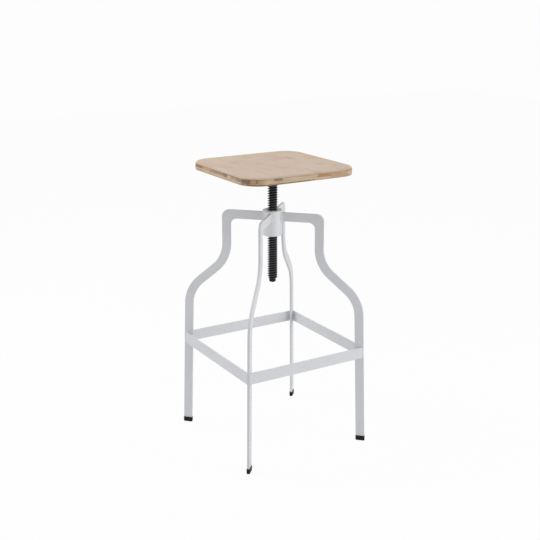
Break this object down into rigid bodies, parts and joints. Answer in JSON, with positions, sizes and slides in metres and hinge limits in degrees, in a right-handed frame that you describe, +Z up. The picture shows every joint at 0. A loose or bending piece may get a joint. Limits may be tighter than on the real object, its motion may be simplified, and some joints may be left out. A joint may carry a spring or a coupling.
{
  "type": "swivel bar stool",
  "caption": "Bar stool with a square wooden seat on a threaded spindle, which turns in a hub to set its height, over flat bent legs joined by a footrest.",
  "frame": {"origin": "on the floor, on the spindle's axis", "axes": "+Z up along the spindle; X and Y along the sides of the seat and of the footrest, with -Y to the front; the legs stand on the diagonals"},
  "size_m": [0.3802, 0.3802, 0.771],
  "materials": {
    "seat_wood": "pale laminated hardwood, matt oil",
    "frame_paint": "pale grey-white powder coat, satin",
    "spindle_black": "black oxide steel, slightly oiled",
    "fixing_steel": "zinc-plated steel",
    "cap_plastic": "black moulded plastic"
  },
  "bodies": {
    "frame": {"hub": "frame_paint", "leg_front": "frame_paint", "leg_right": "frame_paint", "leg_back": "frame_paint", "leg_left": "frame_paint", "footrest_front": "frame_paint", "footrest_right": "frame_paint", "footrest_back": "frame_paint", "footrest_left": "frame_paint", "foot_cap_front": "cap_plastic", "foot_cap_right": "cap_plastic", "foot_cap_back": "cap_plastic", "foot_cap_left": "cap_plastic", "hub_welds": "frame_paint", "footrest_welds": "frame_paint"},
    "end_pin": {"spindle_end_pin": "spindle_black"},
    "seat": {"spindle": "spindle_black", "seat_plate": "spindle_black", "seat_board": "seat_wood", "seat_screws": "fixing_steel"}
  },
  "joints": [
    {"name": "seat_lift", "type": "slide", "parent": "frame", "child": "end_pin", "axis": [0, 0, 1], "range_m": [-0.0967, 0.0967]},
    {"name": "seat_swivel", "type": "hinge", "parent": "end_pin", "child": "seat", "pos_m": [0, 0, 0.5], "axis": [0, 0, 1], "range_deg": [-5355, 5355]}
  ],
  "couplings": [
    {"joint": "seat_lift", "follows": "seat_swivel", "m_per_rad": 0.0010345}
  ]
}
